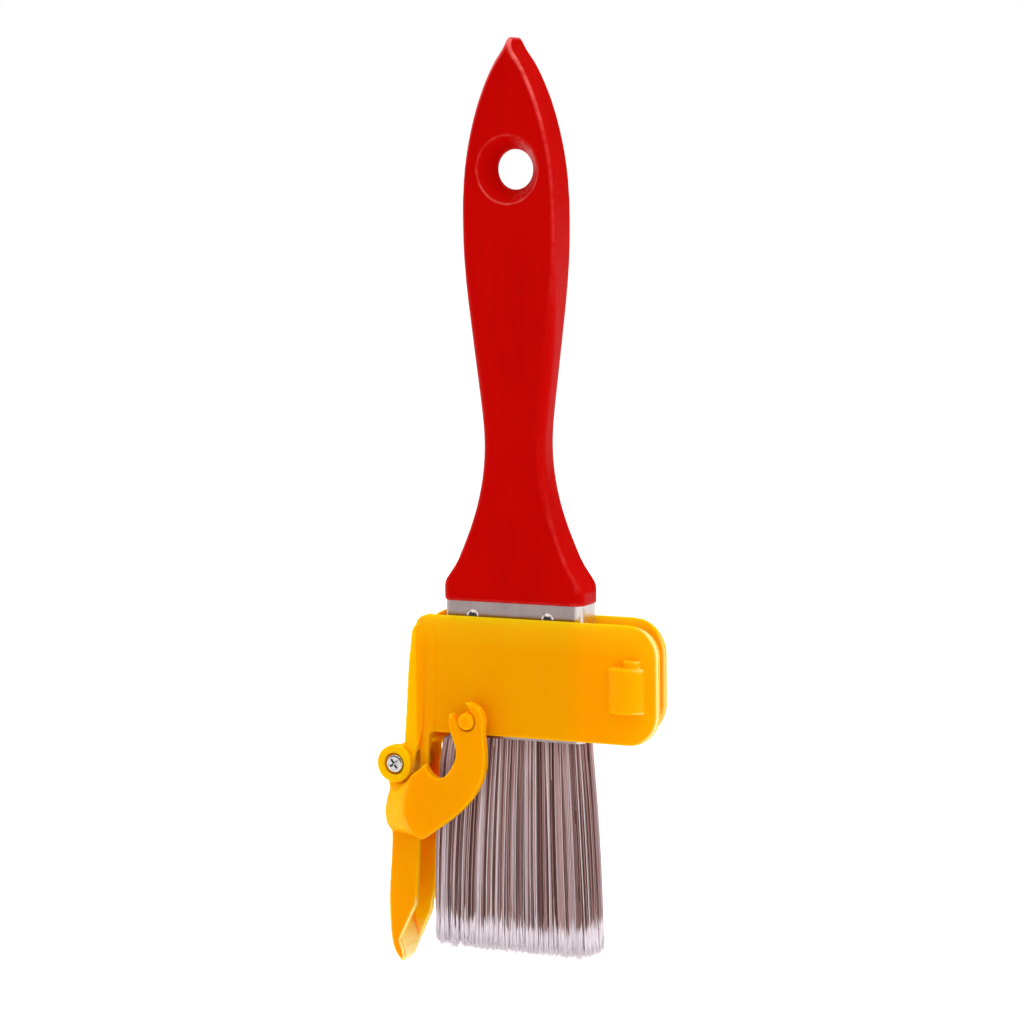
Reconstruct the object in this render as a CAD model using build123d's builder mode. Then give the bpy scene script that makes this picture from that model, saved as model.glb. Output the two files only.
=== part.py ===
"""Flat paint brush with a clip-on edging guard.

The brush hangs by the hole near the tip of its handle, with the bristles down.  The origin is the
centre of that hole.  X runs across the width of the brush, Y through its thickness with the front
towards -Y, and Z up along the handle.  All lengths are in millimetres.

Heights in the sketches are measured from the shoulder, where the handle meets the ferrule.
"""
import os

from build123d import *

# --- driving dimensions ---------------------------------------------------------------------
hole_height = 110.6         # hanging hole's centre above the shoulder
handle_tip = 143.9          # top of the handle above the shoulder
hole_radius = 5.1
hole_land = 1.0             # length of the hole's straight middle part
hole_rim = 8.6              # radius of the countersinks at the faces
grip_thickness = 10.3       # handle's thickness round the hole
tang_depth = 12.0           # handle's reduced end inside the ferrule

ferrule_width = 39.2        # a 1 1/2 inch brush
ferrule_thickness = 10.6
ferrule_corner = 2.4
ferrule_wall = 0.5
ferrule_length = 35.3
ferrule_slip = 0.05         # clearance round what is set inside the ferrule

nail_spacing = 21.4
nail_shift = -0.6           # the pair sits a little off centre
nail_drop = 3.9             # nails' centre below the shoulder
nail_head_radius = 1.9
nail_head_height = 0.9
nail_shank_radius = 0.7
nail_length = 4.5

epoxy_depth = 5.0
plug_width, plug_thickness, plug_depth = 31.0, 2.6, 12.0
bristle_reach = 92.0        # bristle tips below the shoulder
bristle_spread = 22.6       # half width at the tips
bristle_shift = -0.8        # the tips lean a little to one side
bristle_belly = 5.7         # half thickness of the bristles half way down

clip_gap = 0.4              # between each plate and the ferrule
clip_wall = 2.0
crease_step = 0.25          # the bend stands this much proud of the plates
crease_x = -21.6
clip_top, clip_bottom = -3.5, -34.4
bend_x = -22.1              # where the plates meet the rounded bend
front_plate_end, rear_plate_end = 41.9, 38.0
front_corner, rear_corner = 8.2, 9.2
bend_corner = 8.0
rim_round = 0.7
lead_in, lead_in_depth = 1.5, 3.0

pivot_x, pivot_drop = -32.8, -43.3
ear_radius = 4.9
ear_inner, ear_outer = 6.15, 9.3
gusset_face = 7.6           # gussets stand just behind the plates' faces
leg_bottom = -44.5
screw_radius = 1.5
screw_hole_radius = 1.55
screw_head_radius, screw_head_height = 2.5, 1.3
counterbore_radius, counterbore_depth = 2.9, 1.5
nut_flats, nut_height = 5.5, 1.8

peg_x, peg_drop = -10.1, -30.3
peg_radius = 2.3
peg_dome = 0.7

guard_front = 12.0          # guard's front face
arm_thickness = 2.6
blade_half = 5.85           # half depth of the blade, front to back
blade_wall = 1.6
barrel_radius = 4.4
claw_radius = 5.0
claw_play = 0.3             # between the peg and the claw

# --- dimensions that follow -----------------------------------------------------------------
shoulder = -hole_height
plate_inner = ferrule_thickness / 2 + clip_gap
plate_outer = plate_inner + clip_wall
arm_back = guard_front - arm_thickness
core_width = ferrule_width - 2 * (ferrule_wall + ferrule_slip)
core_thickness = ferrule_thickness - 2 * (ferrule_wall + ferrule_slip)
core_corner = ferrule_corner - ferrule_wall
pack_top = -(tang_depth + ferrule_slip + epoxy_depth)

# Front view: local x is X and local y is the height above the shoulder, looking along +Y.
front_view = Plane(origin=(0, 0, shoulder), x_dir=(1, 0, 0), z_dir=(0, -1, 0))
# Side view: local x is Y and local y is the height above the shoulder.
side_view = Plane(origin=(0, 0, shoulder), x_dir=(0, 1, 0), z_dir=(1, 0, 0))


def level(height):
    """Horizontal plane at a height above the shoulder."""
    return Plane.XY.offset(shoulder + height)


def save(piece, name):
    """Label one finished piece and write its own file."""
    piece.part.label = name
    export_step(piece.part, f"parts/{name}.step")


def handle():
    """Beavertail handle, with a tang below the shoulder and a hanging hole near the tip."""
    # height above the shoulder, width, thickness, corner radius
    stations = [
        (3.4, 39.6, 11.3, 2.2),
        (6.2, 37.0, 11.0, 0.9),
        (9.5, 32.4, 10.5, 0.6),
        (13.0, 28.9, 10.1, 0.6),
        (17.0, 25.7, 9.7, 0.8),
        (22.0, 22.3, 9.3, 1.2),
        (27.0, 19.9, 8.9, 1.7),
        (34.0, 17.8, 8.5, 2.1),
        (41.0, 17.3, 8.2, 2.3),
        (52.0, 19.5, 8.3, 2.8),
        (62.5, 22.1, 8.6, 2.8),
        (73.0, 24.1, 9.1, 2.2),
        (83.0, 25.4, 9.7, 1.3),
        (98.0, 26.0, grip_thickness, 0.7),
        (113.5, 23.8, grip_thickness, 0.7),
        (121.0, 20.6, grip_thickness, 0.7),
        (128.5, 15.9, grip_thickness, 0.7),
        (134.0, 11.1, grip_thickness, 0.7),
        (138.6, 5.8, 10.2, 0.7),
        (141.2, 2.4, 9.5, 0.7),
        (142.9, 1.4, 7.8, 0.6),
        (handle_tip, 1.0, 5.6, 0.45),
    ]
    with BuildPart() as piece:
        with BuildSketch(level(0)):
            RectangleRounded(40.0, 11.3, 2.7)
        with BuildSketch(level(stations[0][0])):
            RectangleRounded(40.0, 11.3, 2.6)
        loft()
        for height, width, thickness, corner in stations:
            with BuildSketch(level(height)):
                RectangleRounded(width, thickness, corner)
        loft()
        with BuildSketch(level(0)):
            RectangleRounded(core_width, core_thickness, core_corner)
        extrude(amount=-tang_depth)
        # each countersink's cone runs on past the face, to twice its depth
        cone_depth = grip_thickness - hole_land
        flare = 2 * (hole_rim - hole_radius)
        with Locations(Plane.XZ):
            Cylinder(hole_radius, 20, mode=Mode.SUBTRACT)
        for side in (-1, 1):
            with BuildSketch(Plane.XZ.offset(side * hole_land / 2)):
                Circle(hole_radius)
            with BuildSketch(Plane.XZ.offset(side * (hole_land / 2 + cone_depth))):
                Circle(hole_radius + flare)
            loft(mode=Mode.SUBTRACT)
        with Locations(*nail_holes()):
            Cylinder(nail_shank_radius, nail_length, mode=Mode.SUBTRACT)
    return piece


def nail_holes():
    """Places along the front and rear faces where the nails' shanks run in."""
    places = []
    for side in (-1, 1):
        for x in (nail_shift - nail_spacing / 2, nail_shift + nail_spacing / 2):
            middle_y = side * (ferrule_thickness / 2 - nail_length / 2)
            places.append(Location((x, middle_y, shoulder - nail_drop), (90, 0, 0)))
    return places


def ferrule():
    """Flat sheet-metal sleeve that holds the bristles on the handle."""
    with BuildPart() as piece:
        with BuildSketch(level(0)):
            RectangleRounded(ferrule_width, ferrule_thickness, ferrule_corner)
            RectangleRounded(
                ferrule_width - 2 * ferrule_wall,
                ferrule_thickness - 2 * ferrule_wall,
                core_corner,
                mode=Mode.SUBTRACT,
            )
        extrude(amount=-ferrule_length)
        with Locations(*nail_holes()):
            Cylinder(nail_shank_radius, nail_length, mode=Mode.SUBTRACT)
    return piece


def ferrule_nails():
    """Four domed nails, two in each face, through the ferrule into the tang."""
    with BuildPart() as piece:
        for side in (-1, 1):
            for x in (nail_shift - nail_spacing / 2, nail_shift + nail_spacing / 2):
                seat = Plane(
                    origin=(x, side * ferrule_thickness / 2, shoulder - nail_drop),
                    x_dir=(1, 0, 0),
                    z_dir=(0, 0, -side),
                )
                with BuildSketch(seat):
                    with BuildLine():
                        Polyline(
                            (nail_head_radius, 0),
                            (nail_shank_radius, 0),
                            (nail_shank_radius, nail_length - 1),
                            (0, nail_length),
                            (0, -nail_head_height),
                        )
                        RadiusArc(
                            (0, -nail_head_height),
                            (nail_head_radius, 0),
                            -(nail_head_radius**2 + nail_head_height**2) / (2 * nail_head_height),
                        )
                    make_face()
                revolve(axis=Axis(seat.origin, seat.y_dir))
    return piece


def epoxy_setting():
    """Block of resin that grips the butt ends of the filaments."""
    with BuildPart() as piece:
        with BuildSketch(level(-tang_depth - ferrule_slip)):
            RectangleRounded(core_width, core_thickness, core_corner)
        extrude(amount=-epoxy_depth)
    return piece


def spacer_plug():
    """Strip between the two packs, which leaves a reservoir for paint."""
    with BuildPart() as piece:
        with BuildSketch(level(pack_top)):
            Rectangle(plug_width, plug_thickness)
        extrude(amount=-plug_depth)
        fillet(piece.edges().filter_by(Axis.Z), plug_thickness * 0.4)
    return piece


def filament_pack(side):
    """Half of the bristles: the pack in front of the plug, or the one behind it."""
    half = core_thickness / 2
    plug_end = pack_top - plug_depth
    tip = -bristle_reach
    left, right = bristle_shift - bristle_spread, bristle_shift + bristle_spread
    split = 0.03
    with BuildPart() as piece:
        with BuildSketch(front_view):
            with BuildLine():
                Polyline(
                    (-core_width / 2, pack_top),
                    (core_width / 2, pack_top),
                    (core_width / 2, -ferrule_length - 1),
                    (right, tip),
                    (left, tip),
                    (-core_width / 2, -ferrule_length - 1),
                    close=True,
                )
            make_face()
        extrude(amount=bristle_belly + 1, both=True)
        with BuildSketch(side_view):
            with BuildLine():
                Polyline(
                    (side * half, pack_top),
                    (side * (plug_thickness / 2 + split), pack_top),
                    (side * (plug_thickness / 2 + split), plug_end),
                    (side * split, plug_end - 3),
                    (side * split, tip),
                    (side * 5.6, tip),
                    (side * bristle_belly, -65),
                    (side * half, -ferrule_length - 1),
                    close=True,
                )
            make_face()
        extrude(amount=bristle_spread + 5, both=True, mode=Mode.INTERSECT)
        outer = piece.edges().filter_by(lambda e: abs(e.center().Y) > half * 0.7)
        corners = outer.filter_by(lambda e: abs(e.center().X) > core_width / 2 - 0.5)
        fillet(corners.filter_by(lambda e: e.length > 3), core_corner + 0.1)
    return piece


def plate_outline(end, corner):
    """Front view of one side of the clip: the plate, and the leg below the bend."""
    left = bend_x - plate_outer
    leg_right = bend_x - 1.0
    with BuildSketch() as outline:
        with BuildLine():
            FilletPolyline(
                (left, leg_bottom),
                (leg_right - 0.8, leg_bottom),
                (leg_right, clip_bottom),
                (end, clip_bottom),
                (end, clip_top),
                (left, clip_top),
                radius=[0, 1.2, 1.5, corner, corner, bend_corner],
                close=True,
            )
        make_face()
    return outline.sketch


def bend_section(half_width, front_end, rear_end):
    """Plan view of the clip's bend with a straight run on each side of it."""
    with BuildSketch() as section:
        with Locations((bend_x, 0)):
            Circle(half_width)
            Rectangle(front_end - bend_x, half_width, align=(Align.MIN, Align.MAX))
            Rectangle(rear_end - bend_x, half_width, align=(Align.MIN, Align.MIN))
    return section.sketch


def ear_outline():
    """Front view of an ear and the gusset that runs up the bend from it."""
    with BuildSketch() as outline:
        with BuildLine():
            FilletPolyline(
                (bend_x - 1.8, -6.0),
                (-27.6, -6.0),
                (-29.0, -17.0),
                (-30.1, -33.0),
                (pivot_x + 2.0, pivot_drop + 2.5),
                (pivot_x, pivot_drop),
                (pivot_x + 2.5, pivot_drop - 3.6),
                (bend_x - 6.2, leg_bottom),
                (bend_x - 5.2, pivot_drop + 3.0),
                (bend_x - 3.2, clip_bottom),
                radius=[0, 3, 12, 0, 0, 0, 0, 0, 4, 20],
                close=True,
            )
        make_face()
        with Locations((pivot_x, pivot_drop)):
            Circle(ear_radius)
    return outline.sketch


def thumb_boss():
    """Half-round boss near the plate's open end, with a slimmer stem above it."""
    boss_top, boss_bottom, stem_top = -14.3, -25.9, -12.5
    with BuildPart() as boss:
        with BuildSketch(level(boss_bottom)):
            with Locations((33.5, -plate_outer + 0.5)):
                Ellipse(4.95, 3.5)
        extrude(amount=boss_top - boss_bottom)
        fillet(boss.faces().sort_by(Axis.Z)[-1].edges(), 0.6)
        with BuildSketch(level(boss_bottom + 2)):
            with Locations((35.0, -plate_outer + 0.5)):
                Ellipse(2.35, 2.1)
        extrude(amount=stem_top - boss_bottom - 2)
        with Locations((34.2, -plate_outer + 5.5, shoulder - 20)):
            Box(20, 10, 30, mode=Mode.SUBTRACT)
    return boss.part


def peg():
    """Round-topped peg on the front plate, which the guard's claw closes on."""
    top = guard_front + 0.3 + peg_dome
    with BuildPart() as stud:
        with BuildSketch(front_view.offset(plate_outer - 0.5)):
            with Locations((peg_x, peg_drop)):
                Circle(peg_radius)
        extrude(amount=top - plate_outer + 0.5)
        fillet(stud.faces().sort_by(Axis.Y)[0].edges(), 2 * peg_dome)
    return stud.part


def clip_body():
    """U-shaped clip: two plates, the bend, hinge ears, the guard's peg and a thumb boss."""
    ends = {-1: (front_plate_end, front_corner), 1: (rear_plate_end, rear_corner)}
    clear_end = front_plate_end + 5
    details = [peg(), thumb_boss()]
    with BuildPart() as piece:
        for side, (end, corner) in ends.items():
            with BuildSketch(front_view):
                add(plate_outline(end, corner))
            extrude(amount=-side * plate_outer)
            faces = piece.faces().filter_by(Axis.Y).sort_by(Axis.Y)
            fillet(faces[-1 if side > 0 else 0].edges(), rim_round)
        with BuildSketch(level(clip_top)):
            add(bend_section(plate_outer, front_plate_end, rear_plate_end))
        extrude(amount=leg_bottom - clip_top, mode=Mode.INTERSECT)
        with BuildSketch(level(clip_top)):
            add(bend_section(plate_inner, clear_end, clear_end))
        extrude(amount=leg_bottom - clip_top, mode=Mode.SUBTRACT)
        # the plates' faces lie a small step behind the bend
        for side in (-1, 1):
            with BuildSketch(front_view.offset(-side * (plate_outer - crease_step))):
                with Locations((crease_x, clip_bottom - 1)):
                    Rectangle(clear_end - crease_x, -clip_bottom, align=(Align.MIN, Align.MIN))
            extrude(amount=-side * 2, mode=Mode.SUBTRACT)
        # lead-in along the top, which also clears the nails' heads
        with BuildSketch(side_view.offset(bend_x)):
            with BuildLine():
                Polyline(
                    (0, clip_top - lead_in_depth - plate_inner * lead_in_depth / lead_in),
                    (plate_inner + lead_in, clip_top),
                    (-plate_inner - lead_in, clip_top),
                    close=True,
                )
            make_face()
        extrude(amount=clear_end - bend_x, mode=Mode.SUBTRACT)
        # slot for the guard's barrel between the two legs
        slot_top = pivot_drop + barrel_radius + 0.8
        with Locations((bend_x - 10, 0, shoulder + leg_bottom)):
            Box(20, 2 * ear_inner, 2 * (slot_top - leg_bottom), mode=Mode.SUBTRACT)
        for side in (-1, 1):
            with BuildSketch(front_view.offset(-side * ear_inner)):
                add(ear_outline())
            extrude(amount=-side * (gusset_face - ear_inner))
            with BuildSketch(front_view.offset(-side * gusset_face)):
                with Locations((pivot_x, pivot_drop)):
                    Circle(ear_radius)
            extrude(amount=-side * (ear_outer - gusset_face))
        # clear the bend's inside again, where the gussets cross it
        with BuildSketch(level(clip_top)):
            add(bend_section(plate_inner, clear_end, clear_end))
        extrude(amount=clip_bottom - clip_top, mode=Mode.SUBTRACT)
        # screw hole through both ears, counterbore in front and nut pocket behind
        with BuildSketch(front_view.offset(ear_outer)):
            with Locations((pivot_x, pivot_drop)):
                Circle(screw_hole_radius)
        extrude(amount=-2 * ear_outer, mode=Mode.SUBTRACT)
        with BuildSketch(front_view.offset(ear_outer)):
            with Locations((pivot_x, pivot_drop)):
                Circle(counterbore_radius)
        extrude(amount=-counterbore_depth, mode=Mode.SUBTRACT)
        with BuildSketch(front_view.offset(-ear_outer)):
            with Locations((pivot_x, pivot_drop)):
                RegularPolygon(nut_flats / 2 + 0.05, 6, major_radius=False)
        extrude(amount=nut_height, mode=Mode.SUBTRACT)
        add(details)
    return piece


# Left side of the head, from under the barrel down to the step above the blade.
head_side = [
    (-36.0, -50.7),
    (-36.9, -53.2),
    (-37.5, -56.6),
    (-37.1, -59.8),
    (-35.5, -61.9),
]
# Bevel line where the head turns into its front face, and the step under it.
head_front = [
    (-26.4, -45.6),
    (-28.8, -54.4),
    (-28.4, -56.2),
    (-26.2, -60.6),
    (-23.4, -62.2),
]
head_top = (-22.2, -42.2)


def arm_outline():
    """Front view of the arm, from the head across the plate to the claw."""
    claw_left = (peg_x - claw_radius, peg_drop)
    claw_right = (peg_x + claw_radius, peg_drop)
    with BuildSketch() as outline:
        with BuildLine():
            Line(head_front[0], head_top)
            Spline(
                head_top,
                (-20.9, -44.6),
                (-18.3, -45.8),
                (-15.0, -43.3),
                (-13.2, -38.9),
                (-14.2, -34.8),
                claw_left,
            )
            RadiusArc(claw_left, claw_right, claw_radius)
            Spline(
                claw_right,
                (-5.3, -34.5),
                (-4.9, -40.6),
                (-6.7, -47.0),
                (-11.6, -53.4),
                (-17.6, -58.2),
                head_front[-1],
            )
            Polyline(*reversed(head_front))
        make_face()
    return outline.sketch


def claw_opening():
    """Round seat for the peg, open along the peg's way out as the guard turns."""
    peg_from_pivot = Vector(peg_x - pivot_x, peg_drop - pivot_drop)
    with BuildSketch() as opening:
        way_out = CenterArc(
            (pivot_x, pivot_drop),
            peg_from_pivot.length,
            peg_from_pivot.get_angle(Vector(1, 0)),
            20,
        )
        SlotArc(way_out, 2 * (peg_radius + claw_play))
    return opening.sketch


def blade_outline():
    """Front view of the blade, which is cut to a nib at the tip."""
    with BuildSketch() as outline:
        with BuildLine():
            Polyline((-35.6, -60), (-27.2, -60), (-28.6, -80.8), (-33.6, -90.9))
            Spline((-33.6, -90.9), (-32.9, -92.7), (-32.5, -94.6), tangents=[(0.4, -1), (0.1, -1)])
            ThreePointArc((-32.5, -94.6), (-32.4, -95.9), (-33.0, -96.6))
            Spline((-33.0, -96.6), (-35.3, -93.6), (-36.4, -88.0), (-36.5, -78.0), (-35.6, -60))
        make_face()
    return outline.sketch


def guard():
    """Hinged guard: barrel, head, arm with its claw, and the channel-shaped blade."""
    with BuildPart() as piece:
        with BuildSketch(front_view.offset(arm_back)):
            add(arm_outline())
            add(claw_opening(), mode=Mode.SUBTRACT)
        extrude(amount=arm_thickness)
        # barrel and the block under it, between the ears
        with BuildSketch(front_view.offset(-blade_half)):
            with Locations((pivot_x, pivot_drop)):
                Circle(barrel_radius)
            with BuildLine():
                Polyline(
                    (pivot_x - 4.2, pivot_drop - 1.2),
                    (pivot_x + 3.9, pivot_drop - 2.0),
                    (-27.4, -50.0),
                    (-27.2, -61.9),
                    *reversed(head_side),
                    close=True,
                )
            make_face()
        extrude(amount=2 * blade_half)
        # the blade's rear wall runs on up beside the barrel
        with BuildSketch(front_view.offset(blade_wall - blade_half)):
            with BuildLine():
                Polyline(
                    (pivot_x - 1.0, pivot_drop + barrel_radius),
                    (-26.4, pivot_drop + barrel_radius),
                    (-26.4, -50.0),
                    (-27.2, -62.0),
                    (-34.0, -62.0),
                    close=True,
                )
            make_face()
        extrude(amount=-blade_wall)
        # head, which leans out from the blade's face to the arm's
        with BuildSketch(front_view.offset(blade_half)):
            with BuildLine():
                Polyline((-34.2, -49.0), *head_side, (-24.6, -62.6), (-23.4, -48.0), close=True)
            make_face()
        with BuildSketch(front_view.offset(guard_front)):
            with BuildLine():
                Polyline(
                    head_front[0],
                    (-27.2, -48.6),
                    (-28.0, -51.6),
                    *head_front[1:],
                    (-22.4, -46.8),
                    close=True,
                )
            make_face()
        loft(ruled=True)
        # room for the front ear, all round the pivot
        with BuildSketch(front_view.offset(blade_half)):
            with Locations((pivot_x, pivot_drop)):
                Circle(ear_radius + 0.4)
        extrude(amount=guard_front, mode=Mode.SUBTRACT)
        with BuildSketch(front_view.offset(-blade_half)):
            add(blade_outline())
        extrude(amount=2 * blade_half)
        # the blade is a channel, open towards the bristles
        with BuildSketch(front_view.offset(blade_wall - blade_half)):
            with BuildLine():
                Polyline(
                    (-33.6, -58.5),
                    (-20, -58.5),
                    (-20, -93.0),
                    (-33.0, -93.0),
                    (-34.7, -87.0),
                    (-34.7, -72.0),
                    close=True,
                )
            make_face()
        extrude(amount=2 * (blade_half - blade_wall), mode=Mode.SUBTRACT)
        # the rear flange reaches lower than the front one
        with BuildSketch(front_view.offset(-blade_half)):
            with BuildLine():
                Polyline(
                    (-35.0, -62.0),
                    (-27.4, -62.0),
                    (-28.6, -77.0),
                    (-29.4, -84.4),
                    (-33.0, -92.2),
                    (-35.0, -92.2),
                    close=True,
                )
            make_face()
        extrude(amount=blade_wall)
        # the nib's end slopes up towards the back
        with BuildSketch(side_view.offset(pivot_x - 5)):
            with BuildLine():
                Polyline((-3.4, -97), (1.0, -95.2), (blade_half, -92.2), (blade_half, -97), close=True)
            make_face()
        extrude(amount=10, mode=Mode.SUBTRACT)
        with BuildSketch(front_view.offset(-blade_half - 1)):
            with Locations((pivot_x, pivot_drop)):
                Circle(screw_hole_radius)
        extrude(amount=2 * blade_half + 2, mode=Mode.SUBTRACT)
    return piece


def pivot_screw():
    """Pan-head screw along the hinge, with a cross recess."""
    seat = ear_outer - counterbore_depth
    end = ear_outer - 0.5
    with BuildPart() as piece:
        with BuildSketch(front_view.offset(seat)):
            with Locations((pivot_x, pivot_drop)):
                Circle(screw_radius)
        extrude(amount=-seat - end)
        with BuildSketch(front_view.offset(seat)):
            with Locations((pivot_x, pivot_drop)):
                Circle(screw_head_radius)
        extrude(amount=screw_head_height)
        fillet(piece.faces().sort_by(Axis.Y)[0].edges(), 0.7)
        with BuildSketch(front_view.offset(seat + screw_head_height)):
            with Locations((pivot_x, pivot_drop)):
                for turn in (35, 125):
                    Rectangle(2.9, 0.6, rotation=turn)
        extrude(amount=-0.9, taper=12, mode=Mode.SUBTRACT)
    return piece


def pivot_nut():
    """Hexagonal nut in the rear ear's pocket."""
    with BuildPart() as piece:
        with BuildSketch(front_view.offset(-ear_outer)):
            with Locations((pivot_x, pivot_drop)):
                RegularPolygon(nut_flats / 2, 6, major_radius=False)
                Circle(screw_radius, mode=Mode.SUBTRACT)
        extrude(amount=nut_height)
    return piece


os.makedirs("parts", exist_ok=True)
save(handle(), "handle")
save(ferrule(), "ferrule")
save(ferrule_nails(), "ferrule_nails")
save(epoxy_setting(), "epoxy_setting")
save(spacer_plug(), "spacer_plug")
save(filament_pack(-1), "front_filament_pack")
save(filament_pack(1), "rear_filament_pack")
save(clip_body(), "clip_body")
save(guard(), "guard")
save(pivot_screw(), "pivot_screw")
save(pivot_nut(), "pivot_nut")
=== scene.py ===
"""Paint brush with a slide-on edging guard: looks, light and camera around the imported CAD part.

Everything is in metres in the part's own frame: the origin is the hanging hole's centre, X runs
across the brush's width, Y through its thickness with the front towards -Y, and Z up.
"""

import math

import bmesh
import bpy
import numpy as np
from mathutils import Matrix, Vector

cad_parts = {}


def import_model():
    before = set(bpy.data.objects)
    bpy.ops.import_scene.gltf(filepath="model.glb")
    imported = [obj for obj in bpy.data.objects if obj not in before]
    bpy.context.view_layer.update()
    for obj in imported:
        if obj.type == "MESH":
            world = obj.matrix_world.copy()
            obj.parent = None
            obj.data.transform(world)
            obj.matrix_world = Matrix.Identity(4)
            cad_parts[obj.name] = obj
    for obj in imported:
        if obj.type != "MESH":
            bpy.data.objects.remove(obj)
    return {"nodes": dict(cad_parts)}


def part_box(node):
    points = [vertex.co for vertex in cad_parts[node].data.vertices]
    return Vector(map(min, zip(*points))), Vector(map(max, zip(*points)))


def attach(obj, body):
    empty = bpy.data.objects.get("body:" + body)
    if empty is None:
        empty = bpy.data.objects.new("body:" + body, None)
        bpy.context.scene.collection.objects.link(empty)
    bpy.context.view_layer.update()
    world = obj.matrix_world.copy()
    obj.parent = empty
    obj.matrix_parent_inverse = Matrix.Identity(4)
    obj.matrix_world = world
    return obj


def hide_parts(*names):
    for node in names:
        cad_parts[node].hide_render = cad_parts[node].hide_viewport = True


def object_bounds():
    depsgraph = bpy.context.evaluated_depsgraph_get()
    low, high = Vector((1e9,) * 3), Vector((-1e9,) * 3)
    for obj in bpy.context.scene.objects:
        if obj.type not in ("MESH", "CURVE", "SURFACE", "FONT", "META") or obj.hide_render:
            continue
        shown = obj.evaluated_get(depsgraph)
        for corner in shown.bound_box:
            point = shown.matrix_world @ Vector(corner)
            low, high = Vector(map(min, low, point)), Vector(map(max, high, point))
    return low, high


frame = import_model()
cad_box = [list(corner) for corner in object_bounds()]
nodes = frame["nodes"]
mm = 0.001

# --- places taken from the frame ------------------------------------------------------------
ferrule_low, ferrule_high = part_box("ferrule")
pack_low, pack_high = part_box("front_filament_pack")
rear_low, rear_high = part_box("rear_filament_pack")
clip_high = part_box("clip_body")[1]
handle_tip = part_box("handle")[1].z
shoulder = ferrule_high.z
ferrule_end = ferrule_low.z
bristle_end = pack_low.z

# --- sizes that the frame doesn't give ------------------------------------------------------
rim_radius = 8.6 * mm       # countersink of the hanging hole, at the handle's faces
rim_highlight_half_width = 0.45 * mm        # half width of the painted highlight line round it
clip_side = -26.9 * mm      # the clip's rounded bend is paler to the left of this
clip_end = 24 * mm          # the clip's open end is paler to the right of this
guard_side = -30.5 * mm     # the guard's head is paler to the left of this
blade_half = 5.85 * mm      # half depth of the guard's blade, front to back
blade_top = shoulder - 62 * mm
blade_length = 34 * mm
strands_per_pack = 1500
hairs_per_strand = 8


# --- node helpers ---------------------------------------------------------------------------
class Material:
    """A node tree with one Principled shader, and short ways to add textures to it."""

    def __init__(self, name):
        self.material = bpy.data.materials.new(name)
        self.material.use_nodes = True
        self.tree = self.material.node_tree
        self.shader = self.tree.nodes["Principled BSDF"]
        self.place = self.add("ShaderNodeTexCoord").outputs["Object"]

    def add(self, kind, **settings):
        node = self.tree.nodes.new(kind)
        for key, value in settings.items():
            setattr(node, key, value)
        return node

    def link(self, source, target):
        self.tree.links.new(source, target)

    def set(self, **values):
        for key, value in values.items():
            self.shader.inputs[key.replace("_", " ")].default_value = value

    def stretched(self, scale):
        mapping = self.add("ShaderNodeMapping")
        mapping.inputs["Scale"].default_value = scale
        self.link(self.place, mapping.inputs["Vector"])
        return mapping.outputs["Vector"]

    def noise(self, size, detail=3.0, roughness=0.5, stretch=(1, 1, 1)):
        """Noise whose features are about `size` metres across."""
        node = self.add("ShaderNodeTexNoise")
        node.inputs["Scale"].default_value = 1 / size
        node.inputs["Detail"].default_value = detail
        node.inputs["Roughness"].default_value = roughness
        self.link(self.stretched(stretch), node.inputs["Vector"])
        return node.outputs["Fac"]

    def ramp(self, source, *stops):
        """Colour or grey ramp; each stop is (position, value)."""
        node = self.add("ShaderNodeValToRGB")
        while len(node.color_ramp.elements) < len(stops):
            node.color_ramp.elements.new(0.5)
        for element, (position, value) in zip(node.color_ramp.elements, stops):
            element.position = position
            value = (value, value, value) if isinstance(value, (int, float)) else value
            element.color = (*value, 1)
        self.link(source, node.inputs["Fac"])
        return node.outputs["Color"]

    def mix(self, factor, a, b, blend="MIX"):
        node = self.add("ShaderNodeMix", data_type="RGBA", blend_type=blend)
        for key, value in (("Factor", factor), ("A", a), ("B", b)):
            socket = node.inputs[key]
            if isinstance(value, bpy.types.NodeSocket):
                self.link(value, socket)
            elif isinstance(value, (int, float)):
                socket.default_value = value
            else:
                socket.default_value = (*value, 1)
        return node.outputs["Result"]

    def math(self, operation, a, b=0.0):
        node = self.add("ShaderNodeMath", operation=operation)
        for socket, value in zip(node.inputs, (a, b)):
            if isinstance(value, bpy.types.NodeSocket):
                self.link(value, socket)
            else:
                socket.default_value = value
        return node.outputs["Value"]

    def product(self, first, *others):
        for factor in others:
            first = self.math("MULTIPLY", first, factor)
        return first

    def axis(self, letter):
        """One coordinate of the place on the object."""
        node = self.add("ShaderNodeSeparateXYZ")
        self.link(self.place, node.inputs["Vector"])
        return node.outputs[letter]

    def along(self, source, start, end):
        """0 at the start and 1 at the end, and on past both."""
        return self.math("DIVIDE", self.math("SUBTRACT", source, start), end - start)

    def bump(self, *layers):
        """Layers of (height source, depth in metres, strength)."""
        normal = None
        for source, depth, strength in layers:
            node = self.add("ShaderNodeBump")
            node.inputs["Distance"].default_value = depth
            node.inputs["Strength"].default_value = strength
            self.link(source, node.inputs["Height"])
            if normal is not None:
                self.link(normal, node.inputs["Normal"])
            normal = node.outputs["Normal"]
        self.link(normal, self.shader.inputs["Normal"])

    def paint(self, colour, roughness=None):
        self.link(colour, self.shader.inputs["Base Color"])
        if roughness is not None:
            self.link(roughness, self.shader.inputs["Roughness"])


def edges_of(m):
    """How convex the surface is: above 0.5 on edges, below in creases."""
    return m.add("ShaderNodeNewGeometry").outputs["Pointiness"]


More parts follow.
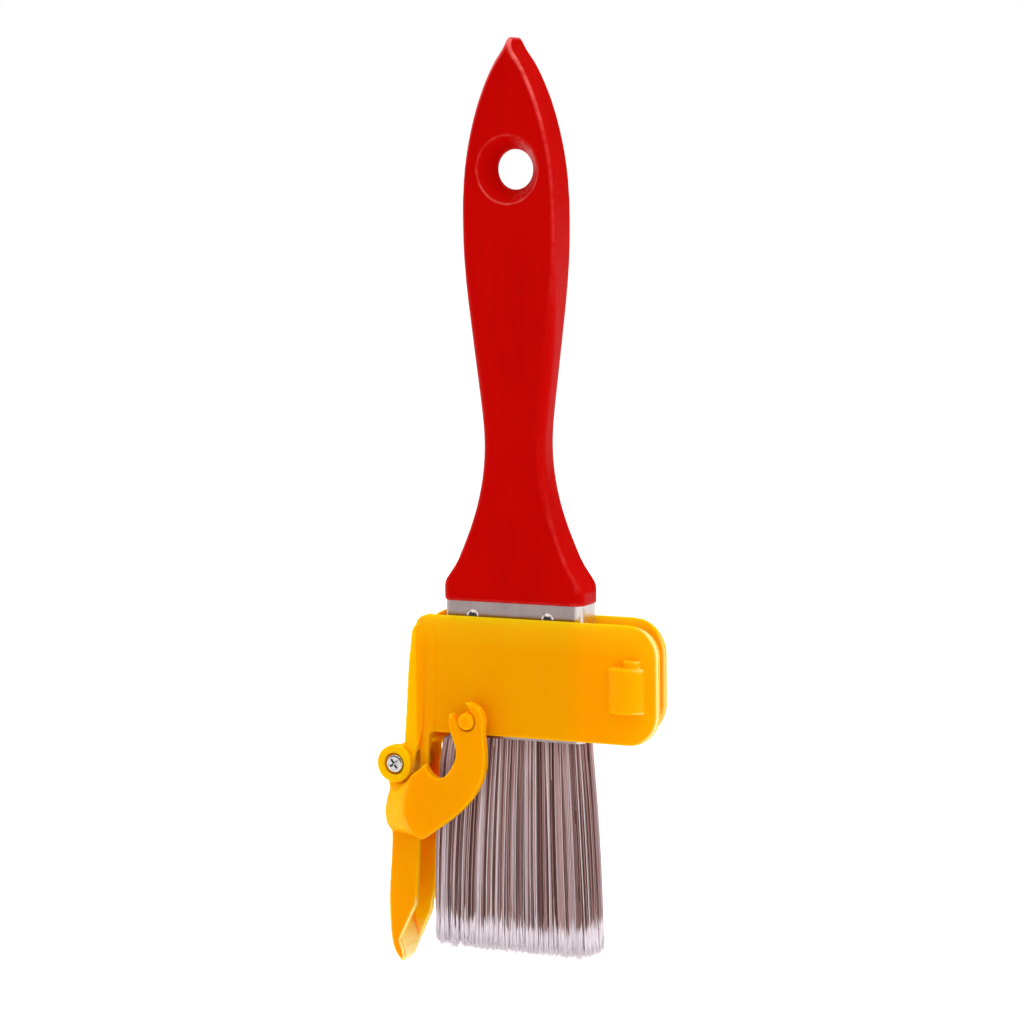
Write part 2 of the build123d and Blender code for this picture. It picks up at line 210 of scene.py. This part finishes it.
# --- materials ------------------------------------------------------------------------------
def painted_edge_highlights(m, colour):
    """Painted highlight: paler paint on the handle's edges, and faint painted reflections in flecks
    on the right of the countersink.

    The painted highlight is palest near the handle's tip and round the lower half of the
    countersink's rim.
    """
    height = m.math("DIVIDE", m.axis("Z"), handle_tip)
    edge = m.ramp(edges_of(m), (0.507, 0.0), (0.53, 1.0))
    # noise that breaks up the painted highlight
    highlight_breakup = m.ramp(m.noise(2.5 * mm, 4), (0.35, 0.35), (0.6, 1.0))
    fading = m.ramp(height, (0.0, 0.4), (0.5, 1.0))
    colour = m.mix(m.product(edge, fading, highlight_breakup), colour, (0.80, 0.075, 0.070))

    # painted highlight round the lower half of the countersink's rim, and near the tip
    radius = m.add("ShaderNodeVectorMath", operation="LENGTH")
    m.link(m.stretched((1, 0, 1)), radius.inputs[0])
    off_rim = m.math("ABSOLUTE", m.math("SUBTRACT", radius.outputs["Value"], rim_radius))
    ring = m.ramp(m.math("DIVIDE", off_rim, rim_highlight_half_width), (0.3, 1.0), (1.0, 0.0))
    under_hole = m.ramp(m.along(m.axis("Z"), rim_radius, -rim_radius), (0.3, 0.0), (0.8, 0.6))
    near_tip = m.ramp(height, (0.35, 0.0), (0.85, 0.7))
    most = m.math("MAXIMUM", m.product(ring, under_hole), near_tip)
    colour = m.mix(m.product(most, edge, highlight_breakup), colour, (0.86, 0.20, 0.18))

    # painted reflections in flecks on the right side of the countersink's cone
    outward = m.math("DIVIDE", radius.outputs["Value"], rim_radius)
    in_cone = m.ramp(outward, (0.90, 1.0), (0.97, 0.0))
    to_right = m.ramp(m.math("DIVIDE", m.axis("X"), rim_radius), (0.0, 0.0), (0.5, 1.0))
    patches = m.ramp(m.noise(0.8 * mm, 3, 0.6), (0.42, 0.0), (0.68, 0.26))
    return m.mix(m.product(in_cone, to_right, patches), colour, (0.85, 0.24, 0.22))


def handle_paint():
    """Red gloss paint with faint streaks over the wood's grain, and orange peel."""
    m = Material("handle_paint")
    m.set(Specular_IOR_Level=0.035, Specular_Tint=(1, 0.15, 0.12, 1))
    broad = m.noise(18 * mm, 3, 0.5, (1, 1, 0.45))
    grain = m.noise(1.4 * mm, 5, 0.6, (1, 1, 0.06))
    base = m.ramp(broad, (0.3, (0.50, 0.0014, 0.0006)), (0.7, (0.56, 0.0018, 0.0008)))
    streaks = m.ramp(grain, (0.35, (0.94, 0.9, 0.9)), (0.65, (1, 1, 1)))
    colour = painted_edge_highlights(m, m.mix(1.0, base, streaks, "MULTIPLY"))
    smudge = m.noise(6 * mm, 4)
    m.paint(colour, m.ramp(smudge, (0.3, 0.24), (0.75, 0.42)))
    orange_peel = m.noise(1.1 * mm, 2)
    m.bump((grain, 0.02 * mm, 0.3), (orange_peel, 0.01 * mm, 0.4))
    return m.material


def sheet_steel():
    """Tinplate, brushed along the handle and a little cloudy."""
    m = Material("ferrule_steel")
    m.set(Metallic=1.0)
    brushing = m.noise(0.25 * mm, 4, 0.6, (1, 1, 0.02))
    clouds = m.noise(5 * mm, 3)
    tint = m.ramp(clouds, (0.3, (0.34, 0.27, 0.26)), (0.7, (0.46, 0.38, 0.375)))
    # painted highlight: paler where the sheet bends round to the right end
    bend = m.math("DIVIDE", m.axis("X"), ferrule_high.x)
    tint = m.mix(m.ramp(bend, (0.90, 0.0), (0.94, 1.0)), tint, (0.80, 0.74, 0.72))
    lines = m.ramp(brushing, (0.3, 0.82), (0.7, 1.0))
    m.paint(m.mix(1.0, tint, lines, "MULTIPLY"), m.ramp(clouds, (0.3, 0.24), (0.7, 0.38)))
    m.bump((brushing, 0.02 * mm, 0.5))
    return m.material


def plated(name, low, high, rough):
    """Plated steel between two greys, with fine scratches."""
    m = Material(name)
    m.set(Metallic=1.0)
    spots = m.noise(0.5 * mm, 4)
    scratches = m.noise(0.12 * mm, 3, 0.6, (1, 0.1, 1))
    roughness = m.ramp(scratches, (0.3, rough), (0.7, rough + 0.12))
    m.paint(m.ramp(spots, (0.3, low), (0.7, high)), roughness)
    m.bump((scratches, 0.008 * mm, 0.4))
    return m.material


# painted light: the paler yellow of sides that catch more of the light
painted_light_yellow = (1.0, 0.49, 0.0008)


def yellow_plastic(name):
    """Glossy, slightly translucent plastic, and its colour; its inner walls scatter more light."""
    m = Material(name)
    m.set(Specular_IOR_Level=0.025, Specular_Tint=(1, 0.4, 0.02, 1), Subsurface_Scale=6 * mm)
    m.shader.inputs["Subsurface Radius"].default_value = (1.0, 0.4, 0.03)
    m.link(m.ramp(depth_in_tool(m), (0.8, 1.0), (0.9, 0.5)), m.shader.inputs["Subsurface Weight"])
    flow = m.noise(14 * mm, 3, 0.5, (1, 1, 0.6))
    return m, m.ramp(flow, (0.3, (0.98, 0.325, 0.0004)), (0.7, (1.0, 0.355, 0.0006)))


def depth_in_tool(m):
    """0 on the middle plane, 1 at the blade's front and back; inner walls lie under about 0.85."""
    return m.math("DIVIDE", m.math("ABSOLUTE", m.axis("Y")), blade_half)


def painted_shade_and_highlight(m, colour):
    """Painted shade: deeper orange in the creases; painted highlight: paler on the edges."""
    edge = edges_of(m)
    colour = m.mix(m.ramp(edge, (0.44, 1.0), (0.492, 0.0)), colour, (0.84, 0.21, 0.0004))
    return m.mix(m.ramp(edge, (0.51, 0.0), (0.56, 0.8)), colour, (1.0, 0.53, 0.004))


def painted_lip_highlight(m, colour, where):
    """Painted highlight: a cream line along the free edge of a thin wall, where the factor says."""
    line = m.product(m.ramp(edges_of(m), (0.505, 0.0), (0.53, 1.0)), where)
    return m.mix(line, colour, (1.0, 0.80, 0.30))


def moulded_finish(m, colour):
    """Paints the colour on, with slightly uneven gloss and a fine mould texture."""
    mottle = m.noise(2.2 * mm, 4)
    m.paint(colour, m.ramp(mottle, (0.3, 0.27), (0.75, 0.40)))
    texture = m.noise(0.35 * mm, 3)
    m.bump((mottle, 0.01 * mm, 0.4), (texture, 0.004 * mm, 0.4))
    return m.material


def clip_plastic():
    """Painted light makes the bend's left side, the top edge and the open end paler."""
    m, colour = yellow_plastic("clip_plastic")
    strip = m.ramp(m.along(m.axis("X"), clip_side, clip_side + 0.5 * mm), (0.0, 1.0), (1.0, 0.0))
    colour = m.mix(strip, colour, painted_light_yellow)
    below_top = m.along(m.axis("Z"), clip_high.z, clip_high.z - 9 * mm)
    at_top = m.ramp(below_top, (0.0, 1.0), (0.25, 0.45), (1.0, 0.0))
    colour = m.mix(at_top, colour, (1.0, 0.52, 0.006))
    colour = painted_shade_and_highlight(m, colour)
    to_end = m.along(m.axis("X"), clip_end, clip_high.x)
    colour = m.mix(m.ramp(to_end, (0.0, 0.0), (1.0, 0.8)), colour, (1.0, 0.47, 0.0008))
    return moulded_finish(m, painted_lip_highlight(m, colour, m.ramp(to_end, (0.65, 0.0), (0.9, 1.0))))


def guard_plastic():
    """Painted light makes the head's left side paler, and the blade's inner walls, most of all at
    its tip.
    """
    m, colour = yellow_plastic("guard_plastic")
    left = m.ramp(m.along(m.axis("X"), guard_side, guard_side + 3 * mm), (0.0, 1.0), (1.0, 0.0))
    on_head = m.ramp(m.along(m.axis("Z"), blade_top, blade_top + 2 * mm), (0.0, 0.0), (1.0, 1.0))
    colour = m.mix(m.product(left, on_head), colour, painted_light_yellow)
    inside = m.ramp(depth_in_tool(m), (0.8, 1.0), (0.9, 0.0))
    down = m.along(m.axis("Z"), blade_top, blade_top - blade_length)
    glow = m.product(m.ramp(down, (0.0, 0.0), (0.12, 0.6), (1.0, 1.0)), inside)
    colour = m.mix(glow, colour, (1.0, 0.62, 0.004))
    at_tip = m.product(m.ramp(down, (0.72, 0.0), (1.0, 0.9)), inside)
    colour = m.mix(at_tip, colour, (1.0, 0.80, 0.45))
    colour = painted_shade_and_highlight(m, colour)
    return moulded_finish(m, painted_lip_highlight(m, colour, m.ramp(down, (0.48, 0.0), (0.6, 1.0))))


def resin():
    m = Material("epoxy")
    clouds = m.noise(3 * mm, 5)
    bubbles = m.noise(0.5 * mm, 2)
    m.paint(
        m.ramp(clouds, (0.3, (0.34, 0.22, 0.08)), (0.7, (0.52, 0.38, 0.18))),
        m.ramp(bubbles, (0.3, 0.25), (0.7, 0.5)),
    )
    m.bump((bubbles, 0.05 * mm, 0.6))
    return m.material


def bare_wood():
    m = Material("plug_wood")
    grain = m.noise(0.8 * mm, 6, 0.6, (1, 1, 0.05))
    clouds = m.noise(6 * mm, 3)
    colour = m.ramp(grain, (0.3, (0.45, 0.29, 0.15)), (0.7, (0.68, 0.50, 0.31)))
    m.paint(colour, m.ramp(clouds, (0.3, 0.6), (0.7, 0.8)))
    m.bump((grain, 0.1 * mm, 0.6))
    return m.material


def filament():
    """Each strand has its own shade, and turns pale where it is flagged at the tip."""
    m = Material("filament")
    m.set(Specular_IOR_Level=0.3, Subsurface_Weight=0.08, Subsurface_Scale=1 * mm)
    m.shader.inputs["Subsurface Radius"].default_value = (1.0, 0.9, 0.9)
    shade = m.add("ShaderNodeAttribute", attribute_name="shade").outputs["Fac"]
    tip = m.add("ShaderNodeAttribute", attribute_name="tip").outputs["Fac"]
    shaft = m.ramp(
        shade,
        (0.0, (0.128, 0.048, 0.0368)),
        (0.25, (0.304, 0.152, 0.138)),
        (0.5, (0.52, 0.316, 0.304)),
        (0.75, (0.672, 0.496, 0.512)),
        (1.0, (0.776, 0.68, 0.72)),
    )
    cloud = m.noise(0.5 * mm, 3, 0.5, (1, 1, 0.08))
    shaft = m.mix(1.0, shaft, m.ramp(cloud, (0.3, 0.86), (0.7, 1.0)), "MULTIPLY")
    flagged = m.ramp(tip, (0.42, 0.0), (0.56, 1.0))
    m.paint(m.mix(flagged, shaft, (0.92, 0.82, 0.875)), m.ramp(cloud, (0.3, 0.4), (0.7, 0.6)))
    m.bump((cloud, 0.01 * mm, 0.3))
    return m.material


def dress(obj, material):
    obj.data.materials.clear()
    obj.data.materials.append(material)


# --- pieces ---------------------------------------------------------------------------------
def link(name, mesh):
    obj = bpy.data.objects.new(name, mesh)
    bpy.context.scene.collection.objects.link(obj)
    return obj


def applied(obj):
    """The object's mesh with its modifiers applied."""
    bpy.context.view_layer.update()
    evaluated = obj.evaluated_get(bpy.context.evaluated_depsgraph_get())
    mesh = bpy.data.meshes.new_from_object(evaluated)
    obj.modifiers.clear()
    old = obj.data
    obj.data = mesh
    bpy.data.meshes.remove(old)
    return obj


def softened(node, name, voxel, rounds):
    """A copy of a CAD node with its edges rounded off as a mould or a coat of paint leaves them."""
    piece = link(name, nodes[node].data.copy())
    shape = bmesh.new()
    shape.from_mesh(piece.data)
    bmesh.ops.remove_doubles(shape, verts=shape.verts, dist=0.001 * mm)
    shape.to_mesh(piece.data)
    shape.free()
    remesh = piece.modifiers.new("remesh", "REMESH")
    remesh.mode = "VOXEL"
    remesh.voxel_size = voxel
    remesh.adaptivity = 0
    smooth = piece.modifiers.new("smooth", "SMOOTH")
    smooth.factor = 0.5
    smooth.iterations = rounds
    applied(piece)
    piece.data.polygons.foreach_set("use_smooth", [True] * len(piece.data.polygons))
    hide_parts(node)
    return piece


def strand_path(start, end, bow, bulge, steps):
    """Points down one strand: straight inside the ferrule, then bending out to its tip."""
    path = []
    # two more points at the ferrule's mouth, where the edge strands flare
    heights = [start[2] + (end[2] - start[2]) * t for t in np.linspace(0, 1, steps)]
    heights = sorted(heights + [ferrule_end + 0.1 * mm, ferrule_end - 1.2 * mm], reverse=True)
    for z in heights:
        out = max(0.0, (ferrule_end - z) / (ferrule_end - bristle_end))
        spread = 1 - (1 - out) ** 1.6
        wave = math.sin(math.pi * min(out, 1.0))
        swell = bulge * (1 - math.exp(-out / 0.012)) * (1 - out) ** 1.3
        path.append(
            (
                start[0] + (end[0] - start[0]) * spread + bow[0] * wave + swell,
                start[1] + (end[1] - start[1]) * spread + bow[1] * wave,
                z,
            )
        )
    return path


class Tubes:
    """Collects thin closed tubes into one mesh with a shade and a tip value at each point."""

    def __init__(self):
        self.verts, self.faces, self.shades, self.tips = [], [], [], []

    def add(self, path, radii, sides, shade, tips):
        base = len(self.verts)
        angles = [2 * math.pi * k / sides for k in range(sides)]
        for (x, y, z), r, tip in zip(path, radii, tips):
            for a in angles:
                self.verts.append((x + r * math.cos(a), y + r * math.sin(a), z))
                self.shades.append(shade)
                self.tips.append(tip)
        for ring in range(len(path) - 1):
            for k in range(sides):
                a0 = base + ring * sides + k
                a1 = base + ring * sides + (k + 1) % sides
                self.faces.append((a0, a0 + sides, a1 + sides, a1))
        last = base + (len(path) - 1) * sides
        self.faces.append(tuple(base + k for k in range(sides)))
        self.faces.append(tuple(last + k for k in reversed(range(sides))))

    def piece(self, name):
        mesh = bpy.data.meshes.new(name)
        mesh.from_pydata(self.verts, [], self.faces)
        for key, values in (("shade", self.shades), ("tip", self.tips)):
            layer = mesh.attributes.new(key, "FLOAT", "POINT")
            layer.data.foreach_set("value", np.array(values, np.float32))
        mesh.polygons.foreach_set("use_smooth", [True] * len(mesh.polygons))
        return link(name, mesh)


def crowd_tip(path, end, pale):
    """Swaps the path's last points for ones that crowd towards the tip, where the shade changes."""
    points = [point for point in path if point[2] > end[2] + 1.25 * pale]
    last = points[-1]
    drop = last[2] - end[2]
    for fraction in (1.25, 0.9, 0.5, 0.0):
        part = 1 - fraction * pale / drop
        points.append(tuple(a + (b - a) * part for a, b in zip(last, end)))
    return points


def split_ends(tubes, rng, start, end, low, high, shade):
    """Fine hairs that fan out of a strand's last stretch, inside the pack's own box."""
    flare = 0.45 * mm
    for _ in range(hairs_per_strand):
        root = tuple(a + (b - a) * rng.uniform(0, 0.8) for a, b in zip(start, end))
        hair = (
            min(max(end[0] + rng.uniform(-1, 1) * flare, low.x), high.x),
            min(max(end[1] + rng.uniform(-1, 1) * flare, low.y), high.y),
            end[2] - rng.uniform(-0.6, 1.3) * mm,
        )
        middle = tuple((a + b) / 2 for a, b in zip(root, hair))
        tubes.add([root, middle, hair], [0.12 * mm, 0.11 * mm, 0.05 * mm], 3, shade, [1, 1, 1])


def filaments(name, side, count, seed):
    """One pack of tapered filaments with flagged tips, from inside the ferrule's mouth down.

    Across a pack u runs from -1 at its left edge to 1, and v from 0 inside to 1 on its face.
    """
    rng = np.random.default_rng(seed)
    low, high = (pack_low, pack_high) if side < 0 else (rear_low, rear_high)
    inner = 0.03 * mm
    mouth_half = (ferrule_high.x - ferrule_low.x) / 2 - 0.8 * mm
    mouth_depth = (ferrule_high.y - ferrule_low.y) / 2 - 0.6 * mm
    tip_left, tip_right = low.x - 0.8 * mm, high.x - 0.3 * mm
    tip_depth = 4.7 * mm
    belly = 0.45 * mm
    # the strands start out of sight, inside the ferrule
    top = high.z - 12 * mm
    clumps = 30
    clump_shade = rng.uniform(0.25, 0.72, clumps + 1)
    clump_lean = rng.uniform(-0.5, 0.5, clumps + 1)
    tubes = Tubes()
    for _ in range(count):
        u = rng.uniform(-1, 1)
        v = rng.uniform(0, 1) ** 0.7
        corner = 1 - 0.06 * v**4
        clump = int(round((u + 1) / 2 * clumps + rng.uniform(-0.25, 0.25)))
        clump = min(max(clump, 0), clumps)
        centre = 2 * clump / clumps - 1
        radius = rng.uniform(0.14, 0.2) * mm
        # the strands beside the guard catch light from it
        shade = clump_shade[clump] + rng.normal(0, 0.3) + 0.25 * max(0, -u) ** 3
        shade = min(max(shade, 0), 1)
        start = (
            u * mouth_half * corner,
            side * (inner + radius + v * (mouth_depth - 2 * radius - inner)),
            top,
        )
        tip_u = (u + 0.3 * (centre - u) + 0.01 * clump_lean[clump] + 1) / 2
        tip_x = tip_left + min(max(tip_u, 0), 1) * (tip_right - tip_left)
        # the end is trimmed nearly square, and rounded off at both corners
        short = (1.4 + rng.uniform(0, 1) ** 1.5 * 3.0 + 1.2 * abs(2 * tip_u - 1) ** 20) * mm
        end = (tip_x * corner, side * (inner + radius + v * tip_depth), bristle_end + short)
        bow = (rng.uniform(-0.3, 0.3) * mm, side * belly * v)
        # the left edge swells out as soon as the ferrule lets go of it
        bulge = -2.9 * mm * max(0, -u) ** 4
        pale = rng.uniform(4.2, 7.2) * mm
        path = crowd_tip(strand_path(start, end, bow, bulge, 9), end, pale)
        tips = [min(max(1 - 0.5 * (p[2] - end[2]) / pale, 0), 1) for p in path]
        # each strand tapers down to its flagged end, which is fuller, then pointed
        length = top - end[2]
        radii = [
            radius * (1 - 0.3 * (top - p[2]) / length) * (1 + 0.5 * min(max(4 * tip - 2, 0), 1))
            for p, tip in zip(path, tips)
        ]
        radii[-1] *= 0.5
        tubes.add(path, radii, 5, shade, tips)
        split_ends(tubes, rng, path[-3], end, low, high, shade)
    return tubes.piece(name)


# --- the object -----------------------------------------------------------------------------
dress(nodes["ferrule"], sheet_steel())
dress(nodes["ferrule_nails"], plated("nail_steel", (0.36, 0.31, 0.28), (0.60, 0.54, 0.50), 0.15))
dress(nodes["epoxy_setting"], resin())
dress(nodes["spacer_plug"], bare_wood())
dress(nodes["pivot_screw"], plated("screw_steel", (0.40, 0.39, 0.38), (0.72, 0.71, 0.70), 0.16))
dress(nodes["pivot_nut"], plated("nut_steel", (0.50, 0.50, 0.50), (0.68, 0.68, 0.68), 0.28))

painted = softened("handle", "painted_handle", voxel=0.32 * mm, rounds=12)
dress(painted, handle_paint())
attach(painted, "brush")

clip = softened("clip_body", "moulded_clip", voxel=0.27 * mm, rounds=6)
dress(clip, clip_plastic())
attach(clip, "clip")

guard = softened("guard", "moulded_guard", voxel=0.22 * mm, rounds=12)
dress(guard, guard_plastic())
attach(guard, "guard")

strand = filament()
for node, name, side, seed in (
    ("front_filament_pack", "front_filaments", -1, 11),
    ("rear_filament_pack", "rear_filaments", 1, 23),
):
    pack = filaments(name, side, strands_per_pack, seed)
    dress(pack, strand)
    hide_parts(node)
    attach(pack, "brush")


# --- floor, light and camera ----------------------------------------------------------------
def floor():
    """Wide pale floor just below the object."""
    mesh = bpy.data.meshes.new("floor")
    shape = bmesh.new()
    bmesh.ops.create_grid(shape, x_segments=8, y_segments=8, size=6)
    shape.to_mesh(mesh)
    shape.free()
    ground = link("floor", mesh)
    ground.location.z = cad_box[0][2] - 30 * mm
    m = Material("floor")
    grain = m.noise(40 * mm, 2)
    m.paint(m.ramp(grain, (0.3, 0.94), (0.7, 0.96)))
    m.set(Roughness=0.9, Specular_IOR_Level=0.1)
    dress(ground, m.material)


def soft_light(name, azimuth, elevation, distance, size, power, shines=True):
    """Square softbox that faces the middle of the object; without `shines` it isn't reflected."""
    target = Vector((0, 0, -90 * mm))
    a, e = math.radians(azimuth), math.radians(elevation)
    back = Vector((math.sin(a) * math.cos(e), -math.cos(a) * math.cos(e), math.sin(e)))
    lamp = bpy.data.lights.new(name, "AREA")
    lamp.shape = "SQUARE"
    lamp.size = size
    lamp.energy = power
    obj = link(name, lamp)
    obj.location = target + back * distance
    obj.rotation_euler = (-back).to_track_quat("-Z", "Y").to_euler()
    obj.visible_glossy = shines


def world():
    """White behind the object; softer grey light on it, and less of it in its reflections."""
    backdrop = bpy.data.worlds.new("studio")
    backdrop.use_nodes = True
    bpy.context.scene.world = backdrop
    tree = backdrop.node_tree
    rays = tree.nodes.new("ShaderNodeLightPath")
    shade = tree.nodes["Background"]
    shade.inputs["Color"].default_value = (0.3, 0.3, 0.3, 1)
    for ray, grey in (("Is Glossy Ray", 0.06), ("Is Camera Ray", 1.0)):
        other = tree.nodes.new("ShaderNodeBackground")
        other.inputs["Color"].default_value = (grey, grey, grey, 1)
        choose = tree.nodes.new("ShaderNodeMixShader")
        tree.links.new(rays.outputs[ray], choose.inputs[0])
        tree.links.new(shade.outputs[0], choose.inputs[1])
        tree.links.new(other.outputs[0], choose.inputs[2])
        shade = choose
    tree.links.new(shade.outputs[0], tree.nodes["World Output"].inputs["Surface"])


def sky_light(strength):
    """Very soft light from straight above."""
    lamp = bpy.data.lights.new("sky", "SUN")
    lamp.energy = strength
    lamp.angle = math.radians(90)
    link("sky", lamp)


def camera():
    """Low three-quarter view from the right, a little above the object."""
    azimuth, elevation, roll = math.radians(26.6), math.radians(6.15), math.radians(-0.63)
    distance = 0.9
    view_height = 263.2 * mm
    target = Vector((-2.14 * mm, 0, shoulder + 22.95 * mm))
    right = Vector((math.cos(azimuth), math.sin(azimuth), 0))
    back = Vector(
        (
            math.sin(azimuth) * math.cos(elevation),
            -math.cos(azimuth) * math.cos(elevation),
            math.sin(elevation),
        )
    )
    up = back.cross(right)
    tilted_right = right * math.cos(roll) + up * math.sin(roll)
    tilted_up = up * math.cos(roll) - right * math.sin(roll)
    data = bpy.data.cameras.new("camera")
    data.sensor_width = 36
    data.lens = 36 * distance / view_height
    obj = link("camera", data)
    axes = Matrix((tilted_right, tilted_up, back)).transposed().to_4x4()
    obj.matrix_world = Matrix.Translation(target + back * distance) @ axes
    bpy.context.scene.camera = obj


floor()
world()
camera()
sky_light(2.7)
soft_light("key", azimuth=74, elevation=25, distance=1.2, size=0.8, power=4.5)
soft_light("left", azimuth=-80, elevation=20, distance=1.2, size=0.8, power=3)
soft_light("rim", azimuth=-134, elevation=0, distance=1.1, size=0.7, power=5, shines=False)
bpy.context.scene.view_settings.view_transform = "Standard"
